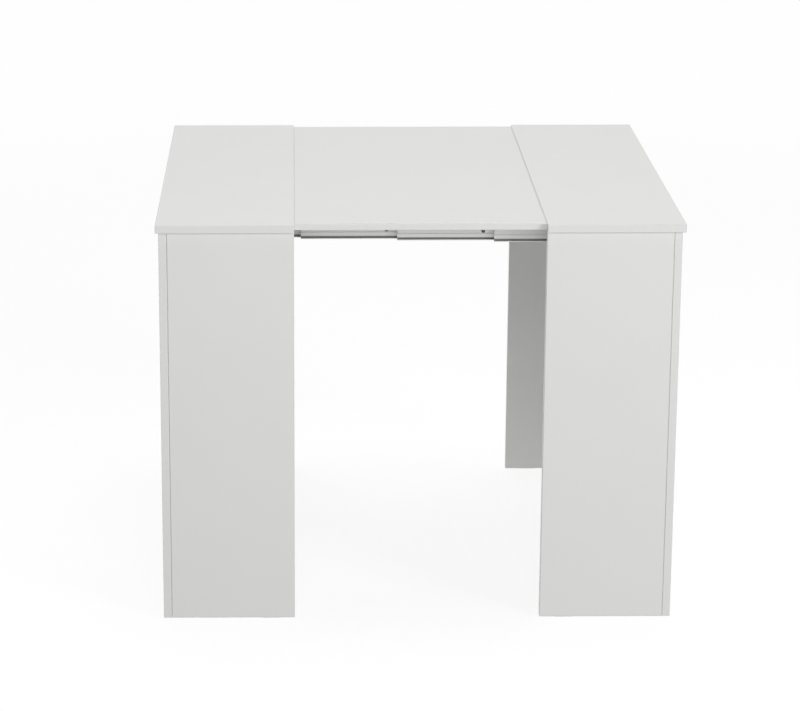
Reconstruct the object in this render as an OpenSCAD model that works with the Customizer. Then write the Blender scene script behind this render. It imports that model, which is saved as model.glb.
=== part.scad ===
// Extendable console table with two panel ends, one leaf and two telescopic guides.
// X is the way the table draws out, Y runs from front to back and Z is up.
// The origin is on the floor under the middle of the table, with one leaf in place.

/* [Table] */
// Depth of the end tops, from front to back
table_depth = 900; // [820:10:1000]
// Height of the end tops above the floor
table_height = 770; // [720:5:800]
// Width of one end, along the table
end_width = 255; // [240:5:300]
// Width between the two ends, which one leaf fills
leaf_place = 465; // [420:5:510]

/* [Boards] */
// Thickness of the boards in the legs
board_t = 15; // [15:0.5:22]
// Thickness of the end tops
top_t = 15; // [15:0.5:22]
// How far an end top overhangs its legs in front, at the back and outside
overhang = 6; // [0:0.5:12]
// Bevel along the edges of every board
arris = 0.8; // [0.4:0.1:1.2]
// Thickness of the glide pads under the legs
pad_t = 1; // [0.5:0.5:3]
// Width of a glide pad, across its board
pad_width = 11; // [8:0.5:13]
// Length of a glide pad, along its board
pad_length = 40; // [20:1:60]
// Distance from the end of a board to its glide pad
pad_inset = 25; // [18:1:40]

/* [Leaf] */
// Thickness of the leaf
leaf_t = 12; // [10:0.5:13]
// How far the leaf lies inside the front and back edges of the end tops
leaf_setback = 14.5; // [5:0.5:30]
// How far the leaf lies below the end tops
leaf_drop = 0.7; // [0:0.1:1]
// Gap between the leaf and each end top
leaf_gap = 0.5; // [0.3:0.1:1]
// Diameter of an alignment pin
pin_d = 6; // [4:0.5:6.5]
// Length of an alignment pin, half of it in each board
pin_length = 24; // [16:1:30]
// Distance of an alignment pin from the middle of the table's depth
pin_offset = 250; // [100:5:260]
// Slack round the free half of an alignment pin
pin_slack = 0.3; // [0.25:0.05:0.5]
// Width of a felt strip under the leaf
felt_width = 70; // [40:5:90]
// Distance from the sides of the leaf to the ends of a felt strip
felt_inset = 2; // [1:1:30]
// Gap between the felt and the members that slide under it
felt_gap = 0.3; // [0.2:0.05:0.8]

/* [Guides] */
// Length of one guide member
member_length = 320; // [300:5:360]
// Height of a guide member
member_h = 35; // [32:1:42]
// Thickness of a guide member, without its tongues
member_w = 12; // [11:0.5:14]
// Wall of the guide extrusion
member_wall = 1.8; // [1.4:0.1:2]
// Distance from the front edge of the end tops to the front guide
guide_setback = 75; // [70:5:120]
// Gap between the ends of a guide and the end panels
guide_end_gap = 6.5; // [3:0.5:15]
// Gap between the end tops and the members that slide under them
guide_clearance = 0.5; // [0.3:0.1:1]
// Step between the three members that show most
wide_step = 180; // [150:5:200]
// Opening of a running groove
groove_open = 4.2; // [3.6:0.2:5]
// How far a groove widens behind its opening
groove_undercut = 3.6; // [2.6:0.2:4]
// Depth of a groove behind its opening
groove_depth = 3.2; // [2.6:0.2:3.6]
// Height of the shallow track along the middle of a member
track_h = 9; // [8:0.5:10]
// Depth of that track
track_depth = 1.2; // [1:0.1:1.4]
// Clearance between a tongue and the groove in which it runs
running_gap = 0.4; // [0.3:0.05:0.5]
// Gap between two neighbouring members
member_gap = 0.5; // [0.4:0.1:1]
// Diameter of the hole in the front wall, at the middle of a member
sight_hole_d = 7; // [4:0.5:7.5]
// Diameter of the head of a stop rivet
stop_head_d = 6; // [5:0.25:7]
// Diameter of the shank of a stop rivet
stop_shank_d = 3; // [2.5:0.25:3.5]
// Distance from the right end of a member to the stop rivet in its track
stop_inset = 10; // [8:1:20]
// Play left between two stop rivets when the table is fully drawn
stop_play = 1; // [0.5:0.5:4]

/* [Brackets] */
// Thickness of the angle brackets that hold the guides
bracket_t = 2; // [1.5:0.25:3]
// Length of an angle bracket
bracket_length = 50; // [44:2:60]
// Width of the flange under the top
bracket_flange = 25; // [20:1:30]
// Height of the flange beside the guide
bracket_h = 28; // [25:1:30]
// Inner radius of the bend between the two flanges
bracket_bend_r = 2; // [1:0.5:3]
// Radius of the free corners of both flanges
bracket_corner_r = 5; // [2:0.5:7]
// Distance from the outer end of a member to its outer bracket
bracket_inset = 14; // [8:1:20]
// Distance from the hole at the middle of a member to its inner bracket
bracket_hole_gap = 4; // [2:0.5:8]
// Distance from a bracket's middle to each of its screws and rivets
bracket_hole_offset = 15; // [12:1:16]
// Diameter of a bracket screw
screw_d = 4; // [3:0.5:5]
// Diameter of the head of a bracket screw
screw_head_d = 8; // [7:0.5:9]
// Height of the head of a bracket screw
screw_head_h = 2.4; // [1.5:0.1:3]
// Length of a bracket screw under its head
screw_length = 13; // [9:1:14]
// Diameter of a rivet between bracket and guide
rivet_d = 4; // [3:0.25:4.5]
// Diameter of the head of that rivet
rivet_head_d = 7; // [6:0.5:8]

/* [Fittings] */
// Diameter of a cam lock
cam_d = 15; // [13:0.5:16]
// Depth of the bore that holds a cam lock
cam_depth = 12; // [11.5:0.25:13]
// Distance from a joint to the middle of its cam lock
cam_setback = 24; // [20:1:34]
// Depth of a cam bolt below the inner face of its board
bolt_inset = 7.5; // [6.5:0.25:7.5]
// Diameter of the bore along which a cam bolt lies
bolt_bore_d = 8; // [7:0.25:8]
// Diameter of the threaded end of a cam bolt
bolt_thread_d = 5; // [4:0.5:6]
// Length of the threaded end of a cam bolt
bolt_thread_length = 11; // [8:0.5:12]
// Diameter of a dowel
dowel_d = 8; // [6:0.5:9]
// How far a dowel reaches into the face of a board
dowel_short = 10; // [8:0.5:12]
// How far a dowel reaches into the edge of a board
dowel_long = 20; // [15:1:25]
// Slack round fittings that are pushed or screwed in
fit_slack = 0.1; // [0.05:0.05:0.2]
// Distance from the ends of a leg to its first and last cam lock
leg_cam_inset = 90; // [70:5:130]
// Distance from the front and back boards to the cam locks along the end panel
panel_cam_inset = 60; // [50:5:90]
// Distance from a cam lock to the dowel beside it
dowel_spacing = 40; // [32:1:50]

/* [Hidden] */
END_PIECES = [
    "top",
    "end_panel",
    "front_board",
    "rear_board",
    "glide_pads",
    "cam_locks",
    "cam_bolts",
    "dowels",
    "guide_brackets",
    "bracket_screws",
    "bracket_rivets"
];
GUIDES = ["front", "rear"];
MEMBER_COUNT = 6;
MEMBERS = [1 : MEMBER_COUNT];
$fn = 48;

// How far a cut runs past the face that it opens
past = 1;
// How much deeper a blind bore is than what it holds
blind_spare = 0.5;

// Heights
top_bottom = table_height - top_t;
leaf_top = table_height - leaf_drop;
leaf_bottom = leaf_top - leaf_t;
pin_height = leaf_top - leaf_t / 2;
guide_top = top_bottom - guide_clearance;
guide_bottom = guide_top - member_h;
felt_bottom = guide_top + felt_gap;

// Places along the table, for the right end
seam = leaf_place / 2;
outer = seam + end_width;
panel_outer = outer - overhang;
panel_inner = panel_outer - board_t;
panel_bolt_x = panel_inner + bolt_inset;
board_cam_x = (seam + panel_inner) / 2;
guide_reach = panel_inner - guide_end_gap;

// Places from front to back, for the front half
top_front = -table_depth / 2;
board_front = top_front + overhang;
board_back = board_front + board_t;
board_bolt_y = board_back - bolt_inset;
guide_front = top_front + guide_setback;
member_pitch = member_w + member_gap;
guide_back = guide_front + MEMBER_COUNT * member_pitch - member_gap;
panel_cam_y = board_back + panel_cam_inset;

// Members 1 to 6 run from the left end to the right end: three short steps, then two wide ones
WIDE_STEPS = 2;
all_steps = 2 * guide_reach - member_length;
short_step = (all_steps - WIDE_STEPS * wide_step) / (MEMBER_COUNT - 1 - WIDE_STEPS);
// Step between any two members when the table is fully drawn, a second leaf longer
full_step = (all_steps + leaf_place) / (MEMBER_COUNT - 1);

// The groove and tongue of the extrusion
groove_top = member_wall + groove_open + groove_undercut;
tongue_low = member_wall + running_gap;
tongue_neck = member_wall + groove_open - running_gap;
tongue_high = groove_top - running_gap;
tongue_front = member_pitch + member_wall + running_gap;
tongue_back = member_pitch + member_wall + groove_depth - running_gap;
tongue_root = member_w - member_wall / 2;
chamber_low = groove_top + member_wall;
chamber_front = track_depth + member_wall;
chamber_back = member_w - member_wall;

// Stop rivets: one in the track near the right end, one on the back near the left end
stop_head_t = track_depth + member_gap - running_gap;
stop_tail_t = 0.8;
STOP_TAIL_GROWTH = 1.4;
track_stop_x = member_length - stop_inset;
back_stop_x = track_stop_x - full_step - stop_head_d - stop_play;

// Cam bolts and cam locks
bolt_head_gap = 0.6;
bolt_head_d = bolt_bore_d - 2 * bolt_head_gap;
bolt_head_t = 3;
thread_height = 0.5;
bolt_shank_d = bolt_thread_d - 2 * thread_height;
bolt_collar_t = 1.5;
cam_height = cam_depth - 2 * fit_slack;
cam_rim = 2.5;
cam_slot_w = 2;
cam_slot_length = cam_d - 2 * cam_rim;
cam_slot_depth = 1.8;

// Brackets, for the right end: the inner one beside the hole of the member, the outer one near its end
hole_to_bracket = (sight_hole_d + bracket_length) / 2 + bracket_hole_gap;
bracket_places = [
    guide_reach - member_length / 2 + hole_to_bracket,
    guide_reach - bracket_inset - bracket_length / 2
];
bend_outer_r = bracket_bend_r + bracket_t;
screw_slot_w = 1;
screw_slot_depth = screw_head_h / 2;
screw_point = screw_d / 2;
rivet_head_t = 1.2;
RIVET_TAIL_GROWTH = 1.3;
pin_tip = 1;

// A rectangle with bevelled corners
module bevelled(width, height) {
    polygon([
        [arris, 0],
        [width - arris, 0],
        [width, arris],
        [width, height - arris],
        [width - arris, height],
        [arris, height],
        [0, height - arris],
        [0, arris]
    ]);
}

// A board between two corners, with all its edges bevelled
module board(low, high) {
    size = high - low;
    translate(low)
        intersection() {
            linear_extrude(size.z)
                bevelled(size.x, size.y);
            rotate([90, 0, 90])
                linear_extrude(size.x)
                    bevelled(size.y, size.z);
            translate([0, size.y, 0])
                rotate([90, 0, 0])
                    linear_extrude(size.y)
                        bevelled(size.x, size.z);
        }
}

// A cylinder along X, from one place to another
module rod(from, to, diameter) {
    translate([from, 0, 0])
        rotate([0, 90, 0])
            cylinder(h = to - from, d = diameter);
}

// A cylinder along Y, from one place to another
module peg(from, to, diameter) {
    translate([0, to, 0])
        rotate([90, 0, 0])
            cylinder(h = to - from, d = diameter);
}

// The children, and their mirror image in the back half of the table
module front_and_back() {
    children();
    mirror([0, 1, 0])
        children();
}

// The children of the right end, turned into those of the left end where asked
module at_end(side) {
    mirror([side == "left" ? 1 : 0, 0, 0])
        children();
}

// Joints between the end panel and the front board. X points into the edge of the board, Z to its inner face
module leg_joints(heights) {
    for (height = heights)
        translate([panel_inner, board_bolt_y, height])
            rotate([90, 0, 180])
                children();
}

// Joints between the end panel and the top, with X down into the panel and Z to its inner face
module panel_top_joints(places) {
    for (y = places)
        translate([panel_bolt_x, y, top_bottom])
            rotate([0, 90, 180])
                children();
}

// Joints between the front board and the top, with X down into the board and Z to its inner face
module board_top_joints(places) {
    for (x = places)
        translate([x, board_bolt_y, top_bottom])
            rotate([0, 90, 90])
                children();
}

LEG_CAMS = [
    pad_t + leg_cam_inset,
    (pad_t + top_bottom) / 2,
    top_bottom - leg_cam_inset
];
LEG_DOWELS = [
    pad_t + leg_cam_inset + dowel_spacing,
    top_bottom - leg_cam_inset - dowel_spacing
];
PANEL_CAMS = [panel_cam_y, 0, -panel_cam_y];
PANEL_DOWELS = [panel_cam_y + dowel_spacing, -panel_cam_y - dowel_spacing];
BOARD_CAMS = [board_cam_x];
BOARD_DOWELS = [board_cam_x + dowel_spacing];

// What a cam joint cuts from the board that holds the cam lock
module cam_cut() {
    translate([cam_setback, 0, bolt_inset - cam_depth])
        cylinder(h = cam_depth + past, d = cam_d);
    rod(-past, cam_setback, bolt_bore_d);
}

// What a cam joint cuts from the board into which its bolt is screwed
module bolt_cut() {
    rod(-bolt_thread_length - blind_spare, past, bolt_thread_d + 2 * fit_slack);
}

// What a dowel cuts from both boards
module dowel_cut() {
    rod(-dowel_short - blind_spare, dowel_long + blind_spare, dowel_d + 2 * fit_slack);
}

// A cam lock: a drum with a cross slot in its face and a mouth for the head of the bolt
module cam_lock() {
    translate([cam_setback, 0, bolt_inset - cam_height])
        difference() {
            cylinder(h = cam_height, d = cam_d - 2 * fit_slack);
            translate([0, 0, cam_height - bolt_inset])
                rod(-cam_d, bolt_head_t, bolt_bore_d);
            for (turn = [0, 90])
                rotate([0, 0, turn])
                    translate([-cam_slot_length / 2, -cam_slot_w / 2, cam_height - cam_slot_depth])
                        cube([cam_slot_length, cam_slot_w, cam_slot_depth + past]);
        }
}

// A cam bolt: thread, collar, shank and head
module cam_bolt() {
    rod(-bolt_thread_length, 0, bolt_thread_d);
    rod(0, bolt_collar_t, bolt_head_d);
    rod(0, cam_setback, bolt_shank_d);
    rod(cam_setback - bolt_head_t / 2, cam_setback + bolt_head_t / 2, bolt_head_d);
}

// A beech dowel with its two ends broken
module dowel() {
    rod(-dowel_short + pin_tip, dowel_long - pin_tip, dowel_d);
    translate([-dowel_short, 0, 0])
        rotate([0, 90, 0])
            cylinder(h = pin_tip, d1 = dowel_d - 2 * pin_tip, d2 = dowel_d);
    translate([dowel_long - pin_tip, 0, 0])
        rotate([0, 90, 0])
            cylinder(h = pin_tip, d1 = dowel_d, d2 = dowel_d - 2 * pin_tip);
}

// Top of one end, with the holes under it and in its inner edge
module end_top(side) {
    // The left top takes the leaf's loose pins, the right top holds its own
    hole_d = pin_d + 2 * (side == "left" ? pin_slack : fit_slack);
    color("whitesmoke")
        difference() {
            board([seam, top_front, top_bottom], [outer, -top_front, table_height]);
            front_and_back() {
                board_top_joints(BOARD_CAMS)
                    bolt_cut();
                board_top_joints(BOARD_DOWELS)
                    dowel_cut();
                bracket_screw_places(side)
                    cylinder(h = screw_length + blind_spare, d = screw_d + 2 * fit_slack);
                translate([0, -pin_offset, pin_height])
                    rod(seam - past, seam + pin_length / 2 + blind_spare, hole_d);
            }
            panel_top_joints(PANEL_CAMS)
                bolt_cut();
            panel_top_joints(PANEL_DOWELS)
                dowel_cut();
        }
}

// Full-depth board that closes an end on the outside
module end_panel() {
    color("whitesmoke")
        difference() {
            board([panel_inner, board_front, pad_t], [panel_outer, -board_front, top_bottom]);
            front_and_back() {
                leg_joints(LEG_CAMS)
                    bolt_cut();
                leg_joints(LEG_DOWELS)
                    dowel_cut();
            }
            panel_top_joints(PANEL_CAMS)
                cam_cut();
            panel_top_joints(PANEL_DOWELS)
                dowel_cut();
        }
}

// Board across the front of an end, butted against the end panel
module leg_board() {
    color("whitesmoke")
        difference() {
            board([seam, board_front, pad_t], [panel_inner, board_back, top_bottom]);
            leg_joints(LEG_CAMS)
                cam_cut();
            leg_joints(LEG_DOWELS)
                dowel_cut();
            board_top_joints(BOARD_CAMS)
                cam_cut();
            board_top_joints(BOARD_DOWELS)
                dowel_cut();
        }
}

// One glide pad with round ends, lying along X
module glide_pad() {
    straight = pad_length - pad_width;
    linear_extrude(pad_t) {
        translate([-straight / 2, -pad_width / 2])
            square([straight, pad_width]);
        for (end = [-1, 1])
            translate([end * straight / 2, 0])
                circle(d = pad_width);
    }
}

// Pads under the end panel and under the inner ends of the two boards
module glide_pads() {
    reach = pad_inset + pad_length / 2;
    color("dimgray")
        front_and_back() {
            translate([panel_inner + board_t / 2, board_front + reach, 0])
                rotate([0, 0, 90])
                    glide_pad();
            translate([seam + reach, board_front + board_t / 2, 0])
                glide_pad();
        }
}

module cam_locks() {
    color("silver") {
        front_and_back() {
            leg_joints(LEG_CAMS)
                cam_lock();
            board_top_joints(BOARD_CAMS)
                cam_lock();
        }
        panel_top_joints(PANEL_CAMS)
            cam_lock();
    }
}

module cam_bolts() {
    color("gray") {
        front_and_back() {
            leg_joints(LEG_CAMS)
                cam_bolt();
            board_top_joints(BOARD_CAMS)
                cam_bolt();
        }
        panel_top_joints(PANEL_CAMS)
            cam_bolt();
    }
}

module dowels() {
    color("burlywood") {
        front_and_back() {
            leg_joints(LEG_DOWELS)
                dowel();
            board_top_joints(BOARD_DOWELS)
                dowel();
        }
        panel_top_joints(PANEL_DOWELS)
            dowel();
    }
}

// Seat of the brackets at the front guide, with +Y pointing away from the member that they hold.
// The left end holds the last member by its back, the right end holds the first one by its front
module bracket_seats(side) {
    for (x = bracket_places)
        if (side == "left")
            translate([x, guide_back, top_bottom])
                children();
        else
            translate([x, guide_front, top_bottom])
                mirror([0, 1, 0])
                    children();
}

module bracket_screw_places(side) {
    bracket_seats(side)
        for (x = [-bracket_hole_offset, bracket_hole_offset])
            translate([x, (bracket_t + bracket_flange) / 2, 0])
                children();
}

module bracket_rivet_places(side) {
    bracket_seats(side)
        for (x = [-bracket_hole_offset, bracket_hole_offset])
            translate([x, 0, guide_bottom + member_h / 2 - top_bottom])
                children();
}

// A block left of and below the origin, with its corner there rounded
module rounded_corner(width, height, radius) {
    translate([-width, -height]) {
        square([width - radius, height]);
        square([width, height - radius]);
    }
    translate([-radius, -radius])
        circle(r = radius);
}

// Section of a bracket: a strip bent round, with its outer corner at the origin
module angle_section() {
    difference() {
        rounded_corner(bracket_flange, bracket_h, bend_outer_r);
        translate([-bracket_t, -bracket_t])
            rounded_corner(bracket_flange, bracket_h, bracket_bend_r);
    }
}

// Outline of a flange that reaches along Y, with its two free corners rounded
module flange_outline(reach) {
    half = bracket_length / 2;
    straight = reach - bracket_corner_r;
    translate([-half, 0])
        square([bracket_length, straight]);
    translate([bracket_corner_r - half, 0])
        square([bracket_length - 2 * bracket_corner_r, reach]);
    for (end = [-1, 1])
        translate([end * (half - bracket_corner_r), straight])
            circle(r = bracket_corner_r);
}

// One bent steel angle: a flange under the top and a flange beside the guide
module angle_bracket() {
    intersection() {
        translate([bracket_length / 2, 0, 0])
            rotate([90, 0, -90])
                linear_extrude(bracket_length)
                    angle_section();
        translate([0, 0, -bracket_h])
            linear_extrude(bracket_h)
                flange_outline(bracket_flange);
        rotate([-90, 0, 0])
            linear_extrude(bracket_flange)
                flange_outline(bracket_h);
    }
}

module guide_brackets(side) {
    color("lightgray")
        front_and_back()
            difference() {
                bracket_seats(side)
                    angle_bracket();
                bracket_screw_places(side)
                    translate([0, 0, -bracket_t - past])
                        cylinder(h = bracket_t + 2 * past, d = screw_d + 2 * fit_slack);
                bracket_rivet_places(side)
                    peg(-past, bracket_t + past, rivet_d + 2 * fit_slack);
            }
}

module bracket_screws(side) {
    color("gray")
        front_and_back()
            bracket_screw_places(side)
                translate([0, 0, -bracket_t]) {
                    translate([0, 0, -screw_head_h])
                        difference() {
                            cylinder(h = screw_head_h, d = screw_head_d);
                            for (turn = [0, 90])
                                rotate([0, 0, turn])
                                    translate([-screw_d / 2, -screw_slot_w / 2, -past])
                                        cube([screw_d, screw_slot_w, past + screw_slot_depth]);
                        }
                    cylinder(h = screw_length - screw_point, d = screw_d);
                    translate([0, 0, screw_length - screw_point])
                        cylinder(h = screw_point, d1 = screw_d, d2 = screw_d / 4);
                }
}

// Grip of a bracket rivet inside the member: the last member's back wall, or the first one's track and wall
function rivet_grip(side) = side == "left" ? member_wall : chamber_front;

module bracket_rivets(side) {
    color("gray")
        front_and_back()
            bracket_rivet_places(side) {
                peg(bracket_t, bracket_t + rivet_head_t, rivet_head_d);
                peg(-rivet_grip(side), bracket_t, rivet_d);
                peg(-rivet_grip(side) - rivet_head_t, -rivet_grip(side), rivet_d * RIVET_TAIL_GROWTH);
            }
}

// An alignment pin along X with a rounded-off free end at its right or its left
module alignment_pin(fixed_end, free_end) {
    tip = free_end > fixed_end ? free_end - pin_tip : free_end + pin_tip;
    rod(min(fixed_end, tip), max(fixed_end, tip), pin_d);
    translate([min(tip, free_end), 0, 0])
        rotate([0, 90, 0])
            cylinder(
                h = pin_tip,
                d1 = free_end > tip ? pin_d : pin_d - 2 * pin_tip,
                d2 = free_end > tip ? pin_d - 2 * pin_tip : pin_d
            );
}

// Pins in the inner edge of the right top, over which the leaf slides
module right_top_pins() {
    color("silver")
        front_and_back()
            translate([0, -pin_offset, pin_height])
                alignment_pin(seam + pin_length / 2, seam - pin_length / 2);
}

// Pins in the left edge of the leaf, which stand in the left top
module leaf_pins() {
    color("silver")
        front_and_back()
            translate([0, -pin_offset, pin_height])
                alignment_pin(-seam + pin_length / 2, -seam - pin_length / 2);
}

module center_leaf() {
    leaf_side = seam - leaf_gap;
    leaf_front = top_front + leaf_setback;
    color("white")
        difference() {
            board([-leaf_side, leaf_front, leaf_bottom], [leaf_side, -leaf_front, leaf_top]);
            front_and_back()
                translate([0, -pin_offset, pin_height]) {
                    rod(-seam, -seam + pin_length / 2 + fit_slack, pin_d + 2 * fit_slack);
                    rod(seam - pin_length / 2 - blind_spare, seam, pin_d + 2 * pin_slack);
                }
        }
}

// Felt under the leaf, over each guide
module leaf_felt_strips() {
    felt_side = seam - leaf_gap - felt_inset;
    color("lightgray")
        front_and_back()
            translate([-felt_side, (guide_front + guide_back - felt_width) / 2, felt_bottom])
                cube([2 * felt_side, felt_width, leaf_bottom - felt_bottom]);
}

// Left end of a member of the front guide
function member_left(member) =
    -guide_reach
    + short_step * (member - 1)
    + (wide_step - short_step) * max(0, member - MEMBER_COUNT + WIDE_STEPS);

// Front face of a member of the front guide: the sixth one is foremost
function member_front(member) = guide_front + (MEMBER_COUNT - member) * member_pitch;

// A groove open to the front that widens towards the middle of the member, along its lower edge
module groove() {
    translate([-past, member_wall])
        square([past + member_wall, groove_open]);
    translate([member_wall, member_wall])
        square([groove_depth, groove_open + groove_undercut]);
}

// A hooked tongue on the back, which runs in the groove of the member behind
module tongue() {
    translate([tongue_root, tongue_low])
        square([tongue_back - tongue_root, tongue_neck - tongue_low]);
    translate([tongue_front, tongue_low])
        square([tongue_back - tongue_front, tongue_high - tongue_low]);
}

// The children, and their mirror image above the middle of the member
module low_and_high() {
    children();
    translate([0, member_h])
        mirror([0, 1])
            children();
}

// Section of the extrusion, front face at the left and lower edge at the bottom
module member_section(has_tongues) {
    rear_chamber = member_wall + groove_depth + member_wall;
    difference() {
        square([member_w, member_h]);
        low_and_high()
            groove();
        translate([-past, (member_h - track_h) / 2])
            square([past + track_depth, track_h]);
        translate([chamber_front, chamber_low])
            square([chamber_back - chamber_front, member_h - 2 * chamber_low]);
        translate([rear_chamber, 2 * member_wall])
            square([chamber_back - rear_chamber, member_h - 4 * member_wall]);
    }
    if (has_tongues)
        low_and_high()
            tongue();
}

// The children at the left end of a member, on its front face at half its height
module at_member(member) {
    translate([member_left(member), member_front(member), guide_bottom + member_h / 2])
        children();
}

// One member of the front guide
module guide_member(member) {
    has_track_stop = member < MEMBER_COUNT;
    has_back_stop = member > 1;
    color("gainsboro")
        difference() {
            at_member(member)
                translate([0, 0, -member_h / 2])
                    rotate([90, 0, 90])
                        linear_extrude(member_length)
                            member_section(has_back_stop);
            at_member(member) {
                translate([member_length / 2, 0, 0])
                    peg(-past, chamber_front + past, sight_hole_d);
                if (has_track_stop)
                    translate([track_stop_x, 0, 0])
                        peg(0, chamber_front + past, stop_shank_d + 2 * fit_slack);
                if (has_back_stop)
                    translate([back_stop_x, 0, 0])
                        peg(chamber_back - past, member_w + past, stop_shank_d + 2 * fit_slack);
            }
            if (member == 1)
                bracket_rivet_holes("left");
            if (member == MEMBER_COUNT)
                bracket_rivet_holes("right");
        }
}

// Holes in a member for the rivets of its brackets
module bracket_rivet_holes(side) {
    at_end(side)
        bracket_rivet_places(side)
            peg(-rivet_grip(side) - past, past, rivet_d + 2 * fit_slack);
}

// A stop rivet through a wall that starts at Y = 0, with its head in front of it
module stop_rivet() {
    peg(-stop_head_t, 0, stop_head_d);
    peg(0, member_wall, stop_shank_d);
    peg(member_wall, member_wall + stop_tail_t, stop_shank_d * STOP_TAIL_GROWTH);
}

// The stop rivets of one member of the front guide
module member_stops(member) {
    color("gray")
        at_member(member) {
            if (member < MEMBER_COUNT)
                translate([track_stop_x, track_depth, 0])
                    stop_rivet();
            if (member > 1)
                translate([back_stop_x, member_w, 0])
                    mirror([0, 1, 0])
                        stop_rivet();
        }
}

// The children of the front guide, turned into those of the rear guide where asked
module at_guide(guide) {
    mirror([0, guide == "rear" ? 1 : 0, 0])
        children();
}

for (side = ["left", "right"]) {
    at_end(side) end_top(side);
    at_end(side) end_panel();
    at_end(side) leg_board();
    at_end(side) mirror([0, 1, 0]) leg_board();
    at_end(side) glide_pads();
    at_end(side) cam_locks();
    at_end(side) cam_bolts();
    at_end(side) dowels();
    at_end(side) guide_brackets(side);
    at_end(side) bracket_screws(side);
    at_end(side) bracket_rivets(side);
}
right_top_pins();
center_leaf();
leaf_pins();
leaf_felt_strips();
for (guide = GUIDES)
    for (member = MEMBERS) {
        at_guide(guide) guide_member(member);
        at_guide(guide) member_stops(member);
    }
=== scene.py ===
import math

import bmesh
import bpy
from mathutils import Matrix, Vector, noise


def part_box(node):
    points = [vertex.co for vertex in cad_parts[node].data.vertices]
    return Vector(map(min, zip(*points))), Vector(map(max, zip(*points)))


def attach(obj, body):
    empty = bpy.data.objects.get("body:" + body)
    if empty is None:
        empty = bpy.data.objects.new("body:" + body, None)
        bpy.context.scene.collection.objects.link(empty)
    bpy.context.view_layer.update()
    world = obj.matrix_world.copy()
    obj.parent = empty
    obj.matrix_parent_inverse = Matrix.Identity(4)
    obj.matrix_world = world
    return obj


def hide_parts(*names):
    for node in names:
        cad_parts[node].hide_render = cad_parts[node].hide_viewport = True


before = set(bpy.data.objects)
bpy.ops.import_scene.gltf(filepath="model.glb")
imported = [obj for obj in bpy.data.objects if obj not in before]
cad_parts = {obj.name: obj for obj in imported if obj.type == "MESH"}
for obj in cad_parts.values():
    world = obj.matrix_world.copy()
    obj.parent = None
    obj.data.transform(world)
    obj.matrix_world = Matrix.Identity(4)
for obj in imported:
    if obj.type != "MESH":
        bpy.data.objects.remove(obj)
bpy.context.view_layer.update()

# The two ends are built of 15 mm chipboard that is faced on both sides with white melamine paper. Each
# board is sawn, gets a 1 mm ABS band glued along its edges, is drilled on its inner face, and the arris of
# the band is scraped round.

MM = 0.001
X, Y, Z = range(3)
BAND = 1.0 * MM
GLUE_LINE = 0.25 * MM
SCRAPED = 0.22 * MM
# Boards meet with a hair between them, beside an end panel and under a top.
JOINT_GAP, TOP_GAP = 0.3 * MM, 0.2 * MM
# What lies this near to a broad side or to an edge of a board belongs to it. The rest lies in a bore.
AT_BROAD_SIDE, AT_EDGE = 0.2 * MM, 0.8 * MM
FACING, EDGE_BAND, GLUE, CORE = range(4)
# Corners nearer than MERGED are one corner, a cut nearer than SNAPPED to a corner runs through it, and
# places nearer than TOUCH are level with each other.
MERGED, SNAPPED, TOUCH = 0.002 * MM, 0.001 * MM, 0.01 * MM
# A normal with more than this share along an axis points that way.
SQUARELY = 0.9
# Triangles bent by less than ONE_FACE are merged. A bend under LEVEL is flat, one under CREASE belongs to a
# round side, and one over SHARP is an edge that a maker would break.
ONE_FACE, LEVEL, CREASE, SHARP = (math.radians(bend) for bend in (1, 0.1, 20, 35))


def linear(hex_colour):
    """An sRGB hex colour as linear red, green, blue and alpha."""
    parts = [int(hex_colour[i : i + 2], 16) / 255 for i in (1, 3, 5)]
    return [p / 12.92 if p <= 0.04045 else ((p + 0.055) / 1.055) ** 2.4 for p in parts] + [1.0]


def add(tree, kind, inputs, **settings):
    """Adds a node with its settings. Each input is given by its name, or by its number where names repeat,
    and gets a value, a hex colour, another node or one output of a node."""
    new = tree.nodes.new("ShaderNode" + kind)
    for name, value in settings.items():
        setattr(new, name, value)
    for name, value in inputs.items():
        socket = next(s for number, s in enumerate(new.inputs) if s.enabled and name in (number, s.name))
        if isinstance(value, bpy.types.Node):
            value = next(s for s in value.outputs if s.enabled)
        if isinstance(value, bpy.types.NodeSocket):
            tree.links.new(value, socket)
        else:
            socket.default_value = linear(value) if isinstance(value, str) else value
    return new


def material(name):
    """A new material, its empty node tree, and the place on the piece that its patterns read."""
    made = bpy.data.materials.new(name)
    made.use_nodes = True
    made.node_tree.nodes.clear()
    return made, made.node_tree, add(made.node_tree, "TexCoord", {}).outputs["Object"]


def melamine_facing():
    """Decor paper in cured melamine resin, pressed with a fine pearl plate: an even white with a satin
    sheen, broken by shallow dimples. Real dimples are 0.5 mm wide; they are drawn 1.5 mm wide to show."""
    made, tree, place = material("melamine_resin_paper_pearl_pressed")
    dimples = add(tree, "TexNoise", {"Vector": place, "Scale": 1 / (1.5 * MM), "Detail": 2.0})
    cloud = add(tree, "TexNoise", {"Vector": place, "Scale": 1 / (140 * MM), "Detail": 3.0})
    white = add(tree, "Mix", {"Factor": cloud, "A": "#DEDEDD", "B": "#E1E1E0"}, data_type="RGBA")
    sheen = add(tree, "MapRange", {"Value": dimples, "To Min": 0.36, "To Max": 0.48})
    bump = add(tree, "Bump", {"Height": dimples, "Strength": 0.4, "Distance": 0.05 * MM})
    look = {"Base Color": white, "Roughness": sheen, "Normal": bump, "IOR": 1.5}
    add(tree, "OutputMaterial", {"Surface": add(tree, "BsdfPrincipled", look)})
    return made


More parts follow.
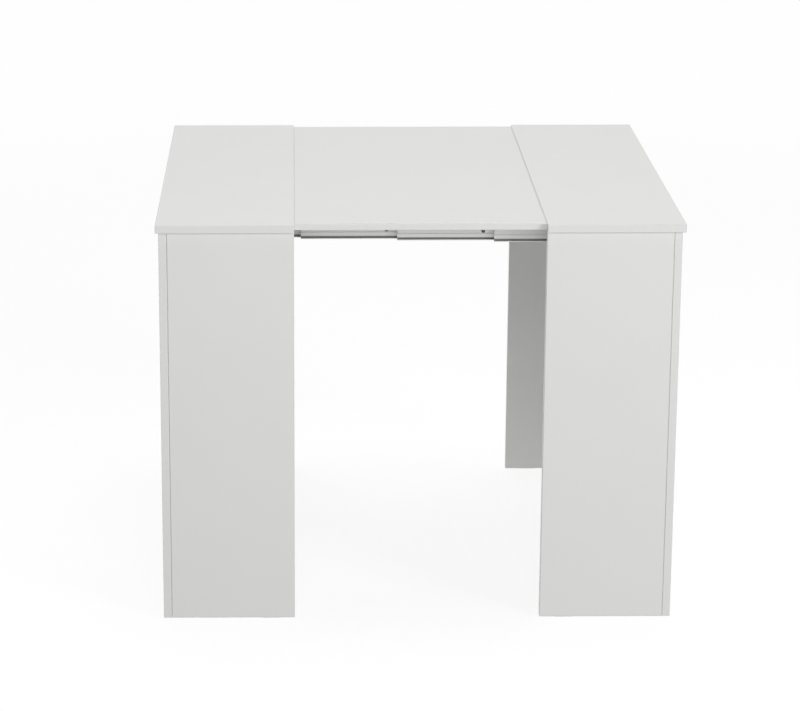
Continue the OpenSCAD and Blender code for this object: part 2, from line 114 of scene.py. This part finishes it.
def abs_band():
    """Extruded ABS, scraped and buffed: the same white, a little smoother than the paper, with faint
    scraper waves along the edge."""
    made, tree, place = material("abs_edge_band_scraped")
    waves = add(tree, "TexNoise", {"Vector": place, "Scale": 1 / (9 * MM), "Detail": 2.0})
    white = add(tree, "Mix", {"Factor": waves, "A": "#DCDCDB", "B": "#E0E0DF"}, data_type="RGBA")
    sheen = add(tree, "MapRange", {"Value": waves, "To Min": 0.32, "To Max": 0.44})
    bump = add(tree, "Bump", {"Height": waves, "Strength": 0.2, "Distance": 0.05 * MM})
    look = {"Base Color": white, "Roughness": sheen, "Normal": bump, "IOR": 1.52}
    add(tree, "OutputMaterial", {"Surface": add(tree, "BsdfPrincipled", look)})
    return made


def glue_line():
    """Hot-melt glue between paper and band: a thin line, darker and duller than both. A real one is
    0.1 mm wide; it is drawn 0.25 mm wide to show."""
    made, tree, place = material("hot_melt_glue_line")
    gaps = add(tree, "TexNoise", {"Vector": place, "Scale": 1 / (4 * MM), "Detail": 3.0})
    cream = add(tree, "Mix", {"Factor": gaps, "A": "#A9A79F", "B": "#CFCDC8"}, data_type="RGBA")
    look = {"Base Color": cream, "Roughness": 0.7}
    add(tree, "OutputMaterial", {"Surface": add(tree, "BsdfPrincipled", look)})
    return made


def bare_chipboard():
    """Resin-bound wood chips, seen in the drilled bores: pale and dark brown flakes 1 to 4 mm wide."""
    made, tree, place = material("chipboard_core_drilled")
    flakes = add(tree, "TexVoronoi", {"Vector": place, "Scale": 1 / (2.5 * MM)}).outputs
    wood = add(tree, "Mix", {"Factor": flakes["Color"], "A": "#8C6E4A", "B": "#CDB48C"}, data_type="RGBA")
    bump = add(tree, "Bump", {"Height": flakes["Distance"], "Strength": 0.6, "Distance": 0.3 * MM})
    look = {"Base Color": wood, "Roughness": 0.85, "Normal": bump}
    add(tree, "OutputMaterial", {"Surface": add(tree, "BsdfPrincipled", look)})
    return made


BOARD_FINISHES = [melamine_facing(), abs_band(), glue_line(), bare_chipboard()]


def copy_of(node):
    """A frame node's shape, with its loose triangles merged into whole faces."""
    shape = bmesh.new()
    shape.from_mesh(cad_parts[node].data)
    bmesh.ops.remove_doubles(shape, verts=shape.verts, dist=MERGED)
    bmesh.ops.dissolve_limit(shape, angle_limit=ONE_FACE, verts=shape.verts, edges=shape.edges)
    return shape


def piece(name, shape, finishes, body, node):
    """A piece of that shape, which rides on the body and stands for the node. Its round sides are shaded
    smooth and its flat ones flat."""
    bends = {edge: edge.calc_face_angle(0.0) for edge in shape.edges}
    for edge in shape.edges:
        edge.smooth = bends[edge] < CREASE
    for face in shape.faces:
        face.smooth = any(LEVEL < bends[edge] < CREASE for edge in face.edges)
    mesh = bpy.data.meshes.new(name)
    shape.to_mesh(mesh)
    shape.free()
    for finish in finishes:
        mesh.materials.append(finish)
    made = bpy.data.objects.new(name, mesh)
    bpy.context.scene.collection.objects.link(made)
    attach(made, body)
    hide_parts(node)
    return made


def part_of_board(face, low, high, thin):
    """Which finish a face of a board has: facing, band, glue line or the bare core in a bore."""
    centre = face.calc_center_median()
    inset = [min(centre[i] - low[i], high[i] - centre[i]) for i in range(3)]
    across = min(inset[i] for i in range(3) if i != thin)
    if inset[thin] < AT_BROAD_SIDE and abs(face.normal[thin]) > SQUARELY:
        return EDGE_BAND if across < BAND else GLUE if across < BAND + GLUE_LINE else FACING
    return EDGE_BAND if across < AT_EDGE else CORE


def banded_board(name, node, body, thin, end_at=None, drawn_in=JOINT_GAP):
    """A drilled board from the frame, its facing parted from its band. thin is the axis of its thickness.
    Its ends that lie end_at from the middle of the table are drawn in by drawn_in, which leaves a gap to the
    next board, and the upper end of an upright board by TOP_GAP."""
    low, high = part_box(node)
    shape = copy_of(node)
    for axis in (i for i in range(3) if i != thin):
        normal = Vector([float(i == axis) for i in range(3)])
        for edge, inwards in ((low[axis], 1), (high[axis], -1)):
            for inset in (BAND, BAND + GLUE_LINE):
                broad = [f for f in shape.faces if abs(f.normal[thin]) > SQUARELY]
                broad = [f for f in broad if part_of_board(f, low, high, thin) != CORE]
                bmesh.ops.bisect_plane(
                    shape,
                    geom=list(dict.fromkeys(part for f in broad for part in (f, *f.edges, *f.verts))),
                    dist=SNAPPED,
                    plane_co=normal * (edge + inwards * inset),
                    plane_no=normal,
                )
    for face in shape.faces:
        face.material_index = part_of_board(face, low, high, thin)
    banded = BAND + GLUE_LINE + TOUCH
    for vert in shape.verts:
        if end_at and abs(abs(vert.co.x) - end_at) < banded:
            vert.co.x -= math.copysign(1.0, vert.co.x) * drawn_in
        if thin != Z and high.z - vert.co.z < banded:
            vert.co.z -= TOP_GAP
    board = piece(name, shape, BOARD_FINISHES, body, node)
    scraped = board.modifiers.new("scraped arris", "BEVEL")
    scraped.width = SCRAPED
    scraped.segments = 2
    scraped.limit_method = "ANGLE"
    scraped.angle_limit = SHARP
    scraped.material = -1


panel_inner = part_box("right_end_panel")[0][X]
for side in ("left", "right"):
    body = side + "_end"
    banded_board(side + "_panel_banded", side + "_end_panel", body, X)
    banded_board(side + "_front_banded", side + "_front_board", body, Y, end_at=panel_inner)
    banded_board(side + "_rear_banded", side + "_rear_board", body, Y, end_at=panel_inner)
    banded_board(side + "_top_banded", side + "_top", body, Z)

# Cam fittings hold the boards together. Each lock is a drum of die-cast zinc, pushed into a bore and flush
# with the inner face of its board, and it draws in the head of a steel bolt screwed into the next board.

LOCK_EDGE = 0.25 * MM


def metal(name, colours, grain, depth, roughness, stretch=(1.0, 1.0, 1.0), metallic=1.0):
    """A metal whose grain, of that size and depth, runs between two colours and two roughnesses. stretch is
    how finely the grain is set along each axis: a low value draws it out into streaks."""
    made, tree, place = material(name)
    along = add(tree, "Mapping", {"Vector": place, "Scale": stretch})
    marks = add(tree, "TexNoise", {"Vector": along, "Scale": 1 / grain, "Detail": 3.0, "Roughness": 0.6})
    grey = add(tree, "Mix", {"Factor": marks, "A": colours[0], "B": colours[1]}, data_type="RGBA")
    sheen = add(tree, "MapRange", {"Value": marks, "To Min": roughness[0], "To Max": roughness[1]})
    bump = add(tree, "Bump", {"Height": marks, "Strength": 0.4, "Distance": depth})
    look = {"Base Color": grey, "Metallic": metallic, "Roughness": sheen, "Normal": bump}
    add(tree, "OutputMaterial", {"Surface": add(tree, "BsdfPrincipled", look)})
    return made


def refinish(node, made):
    """Gives a finish to one of the frame's own nodes."""
    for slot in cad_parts[node].material_slots:
        slot.link = "OBJECT"
        slot.material = made


def sharp_edges(shape):
    """The edges that a maker would break."""
    return [e for e in shape.edges if len(e.link_faces) == 2 and e.calc_face_angle() > SHARP]


def round_off(shape, edges, radius, segments):
    """Rounds those edges of a shape."""
    bmesh.ops.bevel(
        shape, geom=edges, offset=radius, segments=segments, affect="EDGES", profile=0.5, material=-1
    )


# Die-cast zinc comes out of its mould with a dull, slightly pitted skin.
DIE_CAST = metal(
    "zinc_alloy_die_cast",
    ("#7E8084", "#9A9CA0"),
    grain=0.7 * MM,
    depth=0.06 * MM,
    roughness=(0.42, 0.58),
)
# Cold-headed bolts are plated in a barrel, which leaves them bright with small dull knocks.
PLATED_BOLT = metal(
    "steel_cold_headed_zinc_plated",
    ("#A6A8AB", "#C9CCD0"),
    grain=1.2 * MM,
    depth=0.02 * MM,
    roughness=(0.24, 0.42),
)

for side in ("left", "right"):
    locks = copy_of(side + "_cam_locks")
    round_off(locks, sharp_edges(locks), LOCK_EDGE, segments=2)
    piece(side + "_locks_cast", locks, [DIE_CAST], side + "_end", side + "_cam_locks")
    refinish(side + "_cam_bolts", PLATED_BOLT)

# Between the cam fittings, fluted beech dowels 8 mm thick keep the boards in line. They are turned from
# straight-grained rod, chamfered at both ends, and the flutes let the glue spread.

FLUTES = 18
FLUTE_DEPTH = 0.35 * MM
DOWEL_CHAMFER = 1.0 * MM
# How finely the grain is set along the rod: its flecks are about 8 times as long as they are wide.
BEECH_STRETCH = 0.12


def solids(node):
    """The lowest and the highest corner of each separate solid of a node."""
    shape = copy_of(node)
    seen, boxes = set(), []
    for start in shape.verts:
        if start in seen:
            continue
        solid, fresh = set(), {start}
        while fresh:
            solid |= fresh
            fresh = {e.other_vert(v) for v in fresh for e in v.link_edges} - solid
        seen |= solid
        corners = [[outermost(v.co[i] for v in solid) for i in range(3)] for outermost in (min, max)]
        boxes.append([Vector(corner) for corner in corners])
    shape.free()
    return boxes


def beech(along):
    """Steamed beech, turned: pinkish tan, with fine darker flecks drawn out along the rod."""
    made, tree, place = material("beech_turned_grain_along_" + "xyz"[along])
    stretch = [BEECH_STRETCH if i == along else 1.0 for i in range(3)]
    lengthwise = add(tree, "Mapping", {"Vector": place, "Scale": stretch})
    flecks = add(tree, "TexVoronoi", {"Vector": lengthwise, "Scale": 1 / (0.45 * MM)})
    rings = add(tree, "TexNoise", {"Vector": lengthwise, "Scale": 1 / (2.2 * MM), "Detail": 4.0})
    grain = add(tree, "Math", {0: flecks, 1: rings}, operation="MULTIPLY")
    wood = add(tree, "Mix", {"Factor": grain, "A": "#B98A5E", "B": "#E3C49C"}, data_type="RGBA")
    sheen = add(tree, "MapRange", {"Value": rings, "To Min": 0.55, "To Max": 0.75})
    bump = add(tree, "Bump", {"Height": flecks, "Strength": 0.4, "Distance": 0.08 * MM})
    look = {"Base Color": wood, "Roughness": sheen, "Normal": bump}
    add(tree, "OutputMaterial", {"Surface": add(tree, "BsdfPrincipled", look)})
    return made


def add_dowel(shape, low, high, along):
    """Adds a fluted dowel that fills the box from low to high."""
    radius = (high[Y] - low[Y]) / 2
    straight = high[along] - low[along] - 2 * DOWEL_CHAMFER
    sides = bmesh.ops.create_cone(
        shape, cap_ends=True, segments=2 * FLUTES, radius1=radius, radius2=radius, depth=straight
    )["verts"]
    for vert in sides:
        turn = math.atan2(vert.co.y, vert.co.x) / (math.pi / FLUTES)
        if round(turn) % 2:
            vert.co.xy *= 1 - FLUTE_DEPTH / radius
    caps = [f for f in {f for v in sides for f in v.link_faces} if len(f.verts) == 2 * FLUTES]
    caps.sort(key=lambda f: f.calc_center_median().z)
    tips = bmesh.ops.extrude_discrete_faces(shape, faces=caps)["faces"]
    for tip in tips:
        outwards = math.copysign(DOWEL_CHAMFER, tip.calc_center_median().z)
        for vert in tip.verts:
            vert.co.xy *= 1 - DOWEL_CHAMFER / radius
            vert.co.z += outwards
    direction = Vector([float(i == along) for i in range(3)])
    place = Matrix.Translation((low + high) / 2) @ direction.to_track_quat("Z", "Y").to_matrix().to_4x4()
    bmesh.ops.transform(shape, matrix=place, verts=sides + [v for tip in tips for v in tip.verts])


# The legs' dowels lie and the tops' stand. Each is longer along its rod than it is thick.
for name, along in (("_leg_dowels", X), ("_top_dowels", Z)):
    rod = beech(along)
    for side in ("left", "right"):
        dowels = bmesh.new()
        for low, high in solids(side + "_dowels"):
            if high[along] - low[along] > high[Y] - low[Y] + DOWEL_CHAMFER:
                add_dowel(dowels, low, high, along)
        piece(side + name, dowels, [rod], side + "_end", side + "_dowels")

# Each end stands on four self-adhesive pads of pale felt under the edges of its boards. They are punched
# out with round ends, the weight has pressed them to 1 mm, and their lower rim is worn round.

PAD_RIM = 0.3 * MM
# In fibre widths: how far a fibre runs before it bends, and how far it strays.
FIBRE_RUN, FIBRE_STRAY = 8, 12


def needled_felt(name, dark, light, fibre):
    """Needled wool felt: matt, with short fibres lying every way and a soft halo at grazing angles. Real
    fibres are 0.03 mm thick; they are drawn thicker to show."""
    made, tree, place = material(name)
    bends = add(tree, "TexNoise", {"Vector": place, "Scale": 1 / (FIBRE_RUN * fibre), "Detail": 2.0})
    to_bend = {0: bends.outputs["Color"], "Scale": FIBRE_STRAY * fibre}
    astray = add(tree, "VectorMath", to_bend, operation="SCALE")
    bent = add(tree, "VectorMath", {0: place, 1: astray}, operation="ADD")
    fibres = add(tree, "TexNoise", {"Vector": bent, "Scale": 1 / fibre, "Detail": 5.0, "Roughness": 0.7})
    wool = add(tree, "Mix", {"Factor": fibres, "A": dark, "B": light}, data_type="RGBA")
    bump = add(tree, "Bump", {"Height": fibres, "Strength": 0.8, "Distance": fibre / 2})
    look = {"Base Color": wool, "Roughness": 0.95, "Normal": bump}
    look |= {"Sheen Weight": 0.25, "Sheen Roughness": 0.5}
    add(tree, "OutputMaterial", {"Surface": add(tree, "BsdfPrincipled", look)})
    return made


PALE_FELT = needled_felt("wool_felt_pale_pressed", "#C3C1BB", "#E0DED9", fibre=0.3 * MM)


def glide_pad(name, low, high, body):
    """A felt pad with round ends that fills the box from low to high."""
    size = high - low
    width, length = sorted(size.xy)
    shape = bmesh.new()
    fill = Matrix.Translation((low + high) / 2) @ Matrix.Diagonal((*size, 1.0))
    bmesh.ops.create_cube(shape, size=1.0, matrix=fill)
    upright = [e for e in shape.edges if abs(e.verts[0].co.z - e.verts[1].co.z) > size.z / 2]
    round_off(shape, upright, width / 2 - TOUCH, segments=8)
    lower_rim = [e for e in sharp_edges(shape) if all(v.co.z < low.z + TOUCH for v in e.verts)]
    round_off(shape, lower_rim, PAD_RIM, segments=2)
    pad = piece(name, shape, [PALE_FELT], body, body.replace("_end", "_glide_pads"))


for side in ("left", "right"):
    for number, (low, high) in enumerate(solids(side + "_glide_pads"), start=1):
        glide_pad(f"{side}_pad_{number}", low, high, side + "_end")

# The leaf is one 12 mm board of the same make. Steel pins in its left edge stand in the left top, steel
# pins in the right top stand in its right edge, and two strips of grey felt are glued under it.

LEAF_PLAY, LEAF_SEAM = 0.5 * MM, 0.05 * MM
STRIP_RIM = 0.6 * MM
STRIP_LUMPS = 0.3 * MM
LUMP_SPACING = 7 * MM
STRIP_GRID = 5 * MM

# The leaf has 0.5 mm of play at each end, but both its seams look shut in the photograph. So its ends are
# drawn out until 0.05 mm of that play is left.
leaf_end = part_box("center_leaf")[1][X]
banded_board("leaf_banded", "center_leaf", "left_end", Z, end_at=leaf_end, drawn_in=LEAF_SEAM - LEAF_PLAY)
# Bright drawn rod, turned at its end and tumbled: a close mirror with faint turning rings round the pin.
PIN_STEEL = metal(
    "steel_rod_turned_bright",
    ("#B4B6B8", "#D2D4D6"),
    grain=0.5 * MM,
    depth=0.01 * MM,
    roughness=(0.16, 0.3),
    stretch=(1.0, 0.03, 0.03),
)
refinish("leaf_pins", PIN_STEEL)
refinish("right_top_pins", PIN_STEEL)

GREY_FELT = needled_felt("wool_felt_grey_needled", "#8D8B87", "#B4B2AE", fibre=0.4 * MM)


def felt_strip(name, low, high):
    """A strip that fills the box from low to high, with its lower face a little lumpy and its rim soft."""
    size = high - low
    shape = bmesh.new()
    lower_face = Matrix.Translation(((low.x + high.x) / 2, (low.y + high.y) / 2, low.z))
    stretched = lower_face @ Matrix.Diagonal((size.x, size.y, 1.0, 1.0))
    squares = [round(length / STRIP_GRID) for length in size.xy]
    bmesh.ops.create_grid(shape, x_segments=squares[X], y_segments=squares[Y], size=0.5, matrix=stretched)
    for vert in shape.verts:
        vert.co.z += STRIP_LUMPS * (noise.noise(vert.co / LUMP_SPACING) + 1) / 2
    raised = bmesh.ops.extrude_face_region(shape, geom=shape.faces[:])["geom"]
    for vert in (v for v in raised if isinstance(v, bmesh.types.BMVert)):
        vert.co.z = high.z
    bmesh.ops.recalc_face_normals(shape, faces=shape.faces)
    lower_rim = [e for e in sharp_edges(shape) if all(v.co.z < low.z + STRIP_LUMPS for v in e.verts)]
    round_off(shape, lower_rim, STRIP_RIM, segments=3)
    strip = piece(name, shape, [GREY_FELT], "left_end", "leaf_felt_strips")


for low, high in solids("leaf_felt_strips"):
    felt_strip("felt_front" if low.y < 0 else "felt_rear", low, high)

# The guides are aluminium extrusions, six nested in front and six behind. The die leaves hair-fine lines
# along them, they are sawn to length, and a matt etch and anodising turn them an even pale grey. The two
# grooves in which the tongues of the next member run are painted a darker grey as painted shade.

EXTRUSION_EDGE = 0.3 * MM
GROOVE_LOW, GROOVE_HIGH = 1.8 * MM, 9.6 * MM
GROOVE_DEPTH = 5.0 * MM
MEMBERS = range(1, 7)

# Etched and anodised aluminium hardly mirrors: it looks nearly as matt as paint. The real die lines are
# 0.05 mm apart; they are drawn 1.5 mm apart to show.
ANODISED = metal(
    "aluminium_extruded_matt_anodised",
    ("#DADAD9", "#E0E0DF"),
    grain=1.5 * MM,
    depth=0.02 * MM,
    roughness=(0.5, 0.62),
    stretch=(0.01, 1.0, 1.0),
    metallic=0.5,
)
# Painted shade in the two grooves: a darker grey than the metal around it, and less rough.
GROOVE_PAINTED_SHADE = metal(
    "aluminium_groove_painted_shade",
    ("#8E8E8C", "#A2A2A0"),
    grain=1.4 * MM,
    depth=0.03 * MM,
    roughness=(0.32, 0.46),
    stretch=(0.05, 1.0, 1.0),
    metallic=0.4,
)
# Stop rivets are upset from steel wire and plated, which leaves their heads faintly dimpled.
UPSET_RIVET = metal(
    "steel_wire_upset_zinc_plated",
    ("#9B9DA0", "#BFC1C4"),
    grain=0.9 * MM,
    depth=0.03 * MM,
    roughness=(0.3, 0.46),
)


def in_groove(face, low, high, guide):
    """Whether a face of a member lies inside one of its two running grooves."""
    centre = face.calc_center_median()
    rise = min(centre.z - low.z, high.z - centre.z)
    depth = centre.y - low.y if guide == "front" else high.y - centre.y
    at_height = GROOVE_LOW - TOUCH < rise < GROOVE_HIGH + TOUCH
    return at_height and EXTRUSION_EDGE < depth < GROOVE_DEPTH + TOUCH


for guide in ("front", "rear"):
    stages = {member: f"{guide}_stage_{member}" for member in MEMBERS}
    stages |= {MEMBERS[0]: "left_end", MEMBERS[-1]: "right_end"}
    for member, body in stages.items():
        extrusion = copy_of(f"{guide}_guide_{member}")
        round_off(extrusion, sharp_edges(extrusion), EXTRUSION_EDGE, segments=2)
        low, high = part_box(f"{guide}_guide_{member}")
        for face in extrusion.faces:
            # Faces inside the grooves take the painted shade.
            face.material_index = int(in_groove(face, low, high, guide))
        name = f"{guide}_extrusion_{member}"
        piece(name, extrusion, [ANODISED, GROOVE_PAINTED_SHADE], body, f"{guide}_guide_{member}")
        refinish(f"{guide}_stops_{member}", UPSET_RIVET)

# Steel angles hang the outermost members under the end tops. They are pressed from 2 mm strip and plated,
# and held by pan-head screws with a cross recess above and by domed rivets beside the guide.

STRIP_EDGE = 0.2 * MM
SCREW_DOME = 1.1 * MM
RIVET_DOME = 0.9 * MM
RIM_FACET = 0.8 * MM

# Zinc plate on pressed strip is grey, with faint cells a few millimetres wide.
PLATED_STRIP = metal(
    "steel_strip_pressed_zinc_plated",
    ("#A9ABAB", "#C4C6C8"),
    grain=3 * MM,
    depth=0.05 * MM,
    roughness=(0.28, 0.45),
)
# On cold-rolled screws it is bluer and brighter, with the knocks of the plating barrel.
PLATED_SCREW = metal(
    "steel_screw_rolled_zinc_plated",
    ("#9DA0A6", "#C6C9CF"),
    grain=0.8 * MM,
    depth=0.02 * MM,
    roughness=(0.22, 0.38),
)


def dome_heads(shape, axis, outermost, radius):
    """Rounds the outer rim of each head. The heads face along the axis, and outermost picks their face out
    of all distances from the middle of the table. Rims are the only sharp edges there with such short
    facets."""
    reach = outermost(abs(v.co[axis]) for v in shape.verts)
    rims = [e for e in sharp_edges(shape) if e.calc_length() < RIM_FACET]
    rims = [e for e in rims if all(abs(abs(v.co[axis]) - reach) < TOUCH for v in e.verts)]
    round_off(shape, rims, radius, segments=6)


for side, outermost in (("left", min), ("right", max)):
    body = side + "_end"
    angles = copy_of(side + "_guide_brackets")
    round_off(angles, sharp_edges(angles), STRIP_EDGE, segments=1)
    piece(side + "_angles_pressed", angles, [PLATED_STRIP], body, side + "_guide_brackets")
    screws = copy_of(side + "_bracket_screws")
    dome_heads(screws, Z, min, SCREW_DOME)
    piece(side + "_pan_heads", screws, [PLATED_SCREW], body, side + "_bracket_screws")
    rivets = copy_of(side + "_bracket_rivets")
    dome_heads(rivets, Y, outermost, RIVET_DOME)
    piece(side + "_domed_rivets", rivets, [UPSET_RIVET], body, side + "_bracket_rivets")

# The studio: a pale floor that fades into white, a white surround that gives more light from behind than
# from the front, and three soft boxes: overhead, in front, and the main one far out on the right.

# The light of the surround is strongest at the horizon and gone at the height SKY_TOP of a direction. It is
# whole behind SKY_BACK, and in front of SKY_FRONT only the share SKY_IN_FRONT is left.
SKY_AT_HORIZON, SKY_TOP = 3.0, 0.6
SKY_IN_FRONT, SKY_FRONT, SKY_BACK = 0.2, -0.6, 0.2
# The floor looks white with its shadows by FLOOR_OWN_LIGHT, and lights the table from below by FLOOR_BOUNCE.
# From FADE_FROM to FADE_TO metres from the middle it turns pure white.
FLOOR_OWN_LIGHT, FLOOR_BOUNCE = 0.85, 0.6
FADE_FROM, FADE_TO = 1.0, 4.5
FLOOR_RADIUS = 30.0


def seen_directly(tree):
    """1 where the camera, a gloss or a clear surface looks at the background, 0 for the light it gives."""
    path = add(tree, "LightPath", {}).outputs
    both = add(tree, "Math", {0: path["Is Camera Ray"], 1: path["Is Glossy Ray"]}, operation="MAXIMUM")
    return add(tree, "Math", {0: both, 1: path["Is Transmission Ray"]}, operation="MAXIMUM")


world = bpy.data.worlds.new("studio")
world.use_nodes = True
world.node_tree.nodes.clear()
bpy.context.scene.world = world
tree = world.node_tree
towards = add(tree, "SeparateXYZ", {0: add(tree, "TexCoord", {}).outputs["Generated"]}).outputs
upwards = {"Value": towards["Z"], "From Max": SKY_TOP, "To Min": SKY_AT_HORIZON, "To Max": 0.0}
near_horizon = add(tree, "MapRange", upwards)
backwards = {"Value": towards["Y"], "From Min": SKY_FRONT, "From Max": SKY_BACK, "To Min": SKY_IN_FRONT}
behind = add(tree, "MapRange", backwards)
strength = add(tree, "Math", {0: near_horizon, 1: behind}, operation="MULTIPLY")
sky_light = add(tree, "Background", {"Color": "#FFFFFF", "Strength": strength})
white_backdrop = add(tree, "Background", {"Color": "#FEFEFE", "Strength": 1.0})
surround = add(tree, "MixShader", {0: seen_directly(tree), 1: sky_light, 2: white_backdrop})
add(tree, "OutputWorld", {"Surface": surround})

floor_finish, tree, place = material("studio_floor_matt_white")
floor_finish.cycles.emission_sampling = "NONE"
grain = add(tree, "TexNoise", {"Vector": place, "Scale": 1 / (60 * MM), "Detail": 3.0})
pale = add(tree, "Mix", {"Factor": grain, "A": "#7B7B7B", "B": "#808080"}, data_type="RGBA")
matt = add(tree, "BsdfDiffuse", {"Color": pale})
own_light = add(tree, "Emission", {"Color": "#FEFEFE", "Strength": FLOOR_OWN_LIGHT})
pure_white = add(tree, "Emission", {"Color": "#FEFEFE", "Strength": 1.0})
distance = add(tree, "VectorMath", {0: place}, operation="LENGTH")
fade = add(tree, "MapRange", {"Value": distance, "From Min": FADE_FROM, "From Max": FADE_TO})
near_table = add(tree, "AddShader", {0: matt, 1: own_light})
seen = add(tree, "MixShader", {0: fade, 1: near_table, 2: pure_white})
bounce = add(tree, "Emission", {"Color": "#FFFFFF", "Strength": FLOOR_BOUNCE})
lit = add(tree, "MixShader", {0: seen_directly(tree), 1: bounce, 2: seen})
# A camera under the floor looks through it.
from_camera = add(tree, "LightPath", {}).outputs["Is Camera Ray"]
under_side = add(tree, "NewGeometry", {}).outputs["Backfacing"]
from_below = add(tree, "Math", {0: under_side, 1: from_camera}, operation="MULTIPLY")
one_sided = add(tree, "MixShader", {0: from_below, 1: lit, 2: add(tree, "BsdfTransparent", {})})
add(tree, "OutputMaterial", {"Surface": one_sided})

ground = bmesh.new()
bmesh.ops.create_circle(ground, cap_ends=True, segments=64, radius=FLOOR_RADIUS)
floor_mesh = bpy.data.meshes.new("studio_floor")
ground.to_mesh(floor_mesh)
ground.free()
floor_mesh.materials.append(floor_finish)
floor = bpy.data.objects.new("studio_floor", floor_mesh)
bpy.context.scene.collection.objects.link(floor)


def soft_box(name, place, aim, size, watts):
    """A square soft box at place, turned towards aim. Gloss doesn't mirror it, which keeps glare off the
    tops from every side: gloss shows the white surround instead."""
    lamp = bpy.data.lights.new(name, "AREA")
    lamp.size = size
    lamp.energy = watts
    box = bpy.data.objects.new(name, lamp)
    box.location = place
    box.rotation_euler = (Vector(aim) - Vector(place)).to_track_quat("-Z", "Y").to_euler()
    box.visible_glossy = False
    bpy.context.scene.collection.objects.link(box)


soft_box("soft_box_overhead", (0.0, 0.8, 5.0), aim=(0.0, 0.2, 0.7), size=3.5, watts=110)
soft_box("soft_box_in_front", (-0.2, -2.9, 2.3), aim=(0.0, -0.4, 0.4), size=1.4, watts=24)
soft_box("soft_box_far_right", (4.4, -4.1, 2.0), aim=(0.0, -0.4, 0.4), size=2.0, watts=158)

# The camera stands in front, a little left of the middle and above the tops, with a long lens. It is tilted
# down and turned a hair to the right, and a small shift brings the table to where the photograph has it.

TILT, TURN = math.radians(15.177), math.radians(0.554)

camera = bpy.data.cameras.new("camera")
camera.lens = 124.84
camera.sensor_width = 36.0
camera.shift_x = 0.1
camera.shift_y = -0.08
camera.clip_end = 100.0
viewer = bpy.data.objects.new("camera", camera)
viewer.location = (-0.2326, -5.3764, 1.9814)
viewer.rotation_euler = (math.radians(90) - TILT, 0.0, -TURN)
bpy.context.scene.collection.objects.link(viewer)
bpy.context.scene.camera = viewer

bpy.context.scene.view_settings.view_transform = "Standard"
